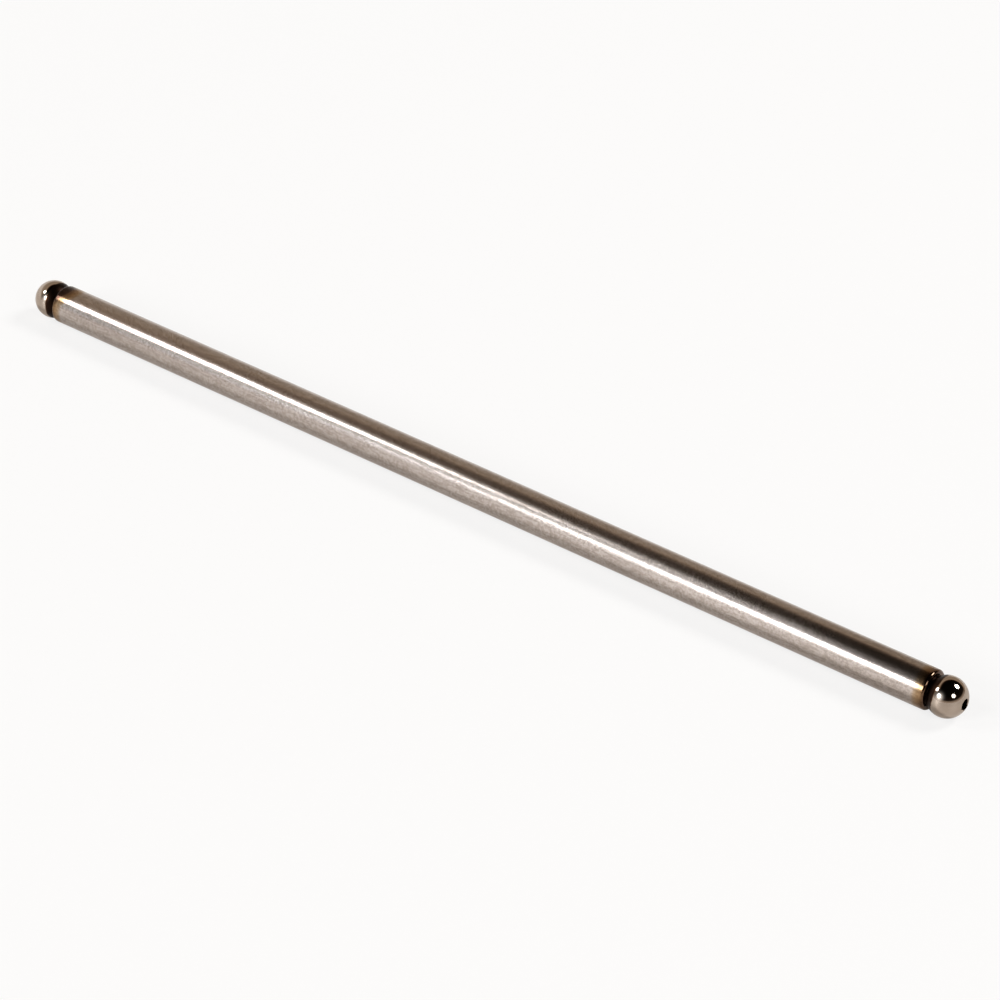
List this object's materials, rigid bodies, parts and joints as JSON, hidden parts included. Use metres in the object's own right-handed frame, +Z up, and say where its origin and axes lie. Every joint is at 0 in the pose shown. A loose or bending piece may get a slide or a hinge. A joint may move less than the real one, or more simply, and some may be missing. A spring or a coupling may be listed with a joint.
{
  "type": "engine pushrod",
  "caption": "Straight tubular steel pushrod with a drilled, polished ball end seated in each mouth; carries valve lift and oil from a lifter's cup to a rocker arm's socket.",
  "frame": {"origin": "on the rod's axis, at the middle of its length", "axes": "+X along the rod towards the rocker arm's end, which is the near end in the picture; +Z up as it lies on a table"},
  "size_m": [0.2282, 0.008, 0.008],
  "materials": {
    "ground_steel": "satin, ground round its axis, with straw-coloured heat tint on both ends",
    "polished_steel": "hardened and polished ball, blackened by heat behind the ball"
  },
  "bodies": {
    "root": {"rod_tube": "ground_steel", "lifter_ball_end": "polished_steel", "rocker_ball_end": "polished_steel"}
  },
  "joints": []
}
